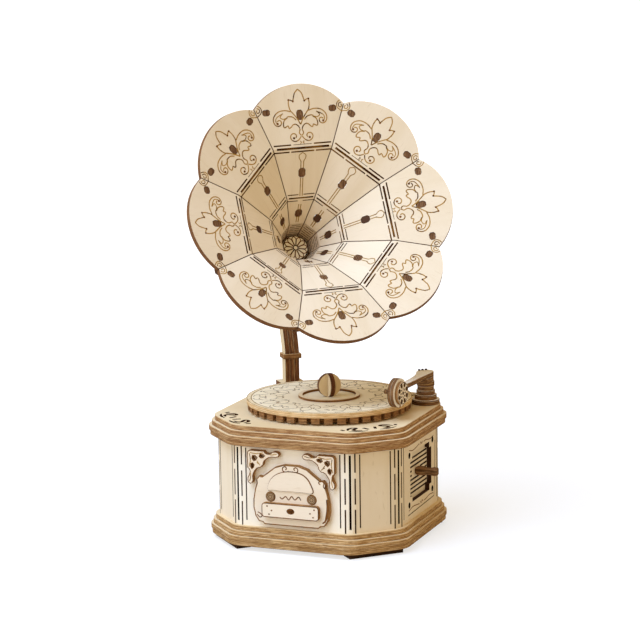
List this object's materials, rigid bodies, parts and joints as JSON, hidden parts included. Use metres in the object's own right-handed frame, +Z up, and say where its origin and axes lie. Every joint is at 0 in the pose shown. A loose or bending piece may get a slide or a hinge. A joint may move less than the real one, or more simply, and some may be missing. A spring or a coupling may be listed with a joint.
{
  "type": "toy gramophone music box",
  "caption": "Toy gramophone of flat plywood plates: folded petal horn on a bowed arm, stepped case, turntable geared to a winding key, swinging tonearm.",
  "frame": {"origin": "under the middle of the whole model's box, level with the undersides of its feet", "axes": "+Z up, -Y out of the front plate, +X out of the side that carries the winding key"},
  "size_m": [0.0926, 0.0914, 0.1847],
  "materials": {
    "birch": "bare birch plywood, laser cut",
    "pale_birch": "bare birch face veneer with scorched lines",
    "burnt_birch": "birch plywood browned by the laser"
  },
  "bodies": {
    "case": {"topPlate1": "birch", "topPlate2": "birch", "topPlate3": "birch", "topPlate4": "birch", "wallFront": "pale_birch", "wallBack": "pale_birch", "bottomPlate1": "birch", "bottomPlate2": "birch", "bottomPlate3": "birch", "bottomPlate4": "birch", "footFrontRight": "burnt_birch", "footBackRight": "burnt_birch", "footBackLeft": "burnt_birch", "footFrontLeft": "burnt_birch", "frontArchPlate": "pale_birch", "frontRosetteLeft": "burnt_birch", "frontRosetteRight": "burnt_birch", "frontPlaque": "pale_birch", "cornerBracketLeft": "pale_birch", "cornerBracketRight": "pale_birch", "slatPanel": "pale_birch", "spindleBearing": "birch", "shaftBracket": "birch", "armBaseRing": "birch", "armPin": "birch", "hornGore1": "pale_birch", "hornGore2": "pale_birch", "hornGore3": "pale_birch", "hornGore4": "pale_birch", "hornGore5": "pale_birch", "hornGore6": "pale_birch", "hornGore7": "pale_birch", "hornGore8": "pale_birch", "hornNeck": "birch", "hornRosette": "pale_birch", "hornRibCage": "birch", "postPlateLeft": "birch", "postPlateMiddle": "birch", "postPlateRight": "birch", "postFoot": "birch", "postCollar": "birch"},
    "turntable": {"turntableRing": "birch", "turntableDisc": "pale_birch", "labelRing": "birch", "knobDiscA": "birch", "knobDiscB": "burnt_birch", "spindle": "birch", "crownWheel": "birch"},
    "key": {"keyShaft": "birch", "keyPinion": "birch", "keyPlateA": "burnt_birch", "keyPlateB": "burnt_birch"},
    "tonearm": {"armPillar": "birch", "armPlateLower": "birch", "armPlateUpper": "pale_birch", "soundBoxBody": "birch", "soundBoxGrille": "pale_birch", "needle": "burnt_birch", "soundBoxHub": "burnt_birch"}
  },
  "joints": [
    {"name": "turntable_spin", "type": "hinge", "parent": "case", "child": "turntable", "pos_m": [-0.00093, 0.00213, 0], "axis": [0, 0, 1], "continuous": true},
    {"name": "key_spin", "type": "hinge", "parent": "case", "child": "key", "pos_m": [-0.00133, 0.00213, 0.0281], "axis": [1, 0, 0], "continuous": true},
    {"name": "tonearm_swing", "type": "hinge", "parent": "case", "child": "tonearm", "pos_m": [0.03367, 0.02413, 0], "axis": [0, 0, 1], "range_deg": [-34, 35]}
  ],
  "couplings": [
    {"joint": "key_spin", "follows": "turntable_spin", "ratio": -3}
  ]
}
